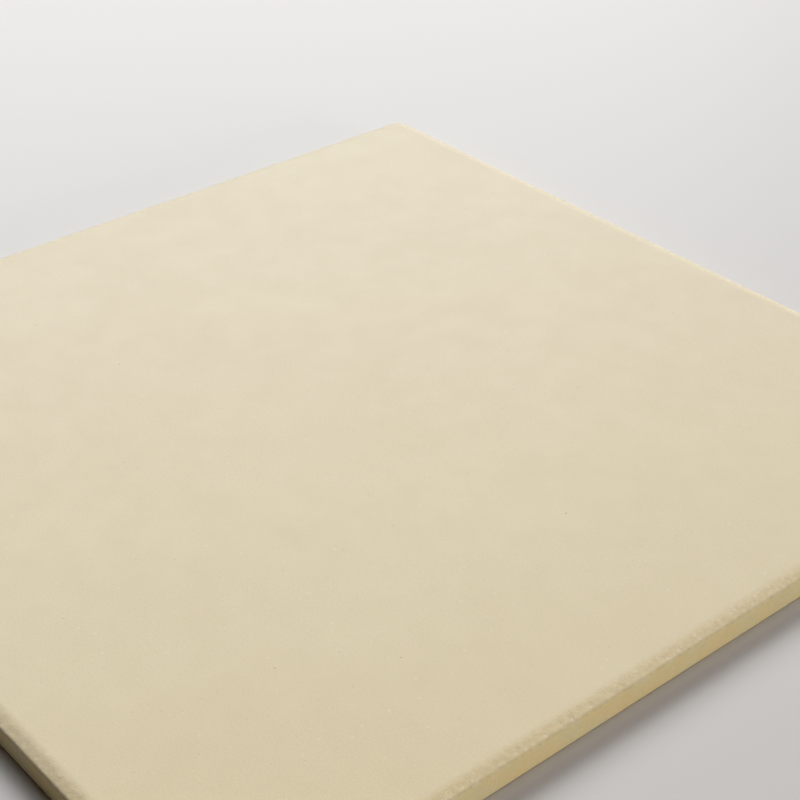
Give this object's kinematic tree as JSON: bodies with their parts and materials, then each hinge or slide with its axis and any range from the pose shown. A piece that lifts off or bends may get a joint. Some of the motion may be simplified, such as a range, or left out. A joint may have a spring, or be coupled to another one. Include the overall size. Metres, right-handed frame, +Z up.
{
  "type": "pizza stone",
  "caption": "Square cream cordierite baking slab with a shallow, softly rounded bevel round its flat top and a flat underside, for baking pizza and bread in an oven or on a grill.",
  "frame": {"origin": "middle of the underside, on the surface that the slab lies on", "axes": "+Z up through the thickness, out of the baking face; X and Y along the sides"},
  "size_m": [0.38, 0.38, 0.0095],
  "materials": {
    "fired_stone": "matte"
  },
  "bodies": {
    "root": {"stone_slab": "fired_stone"}
  },
  "joints": []
}
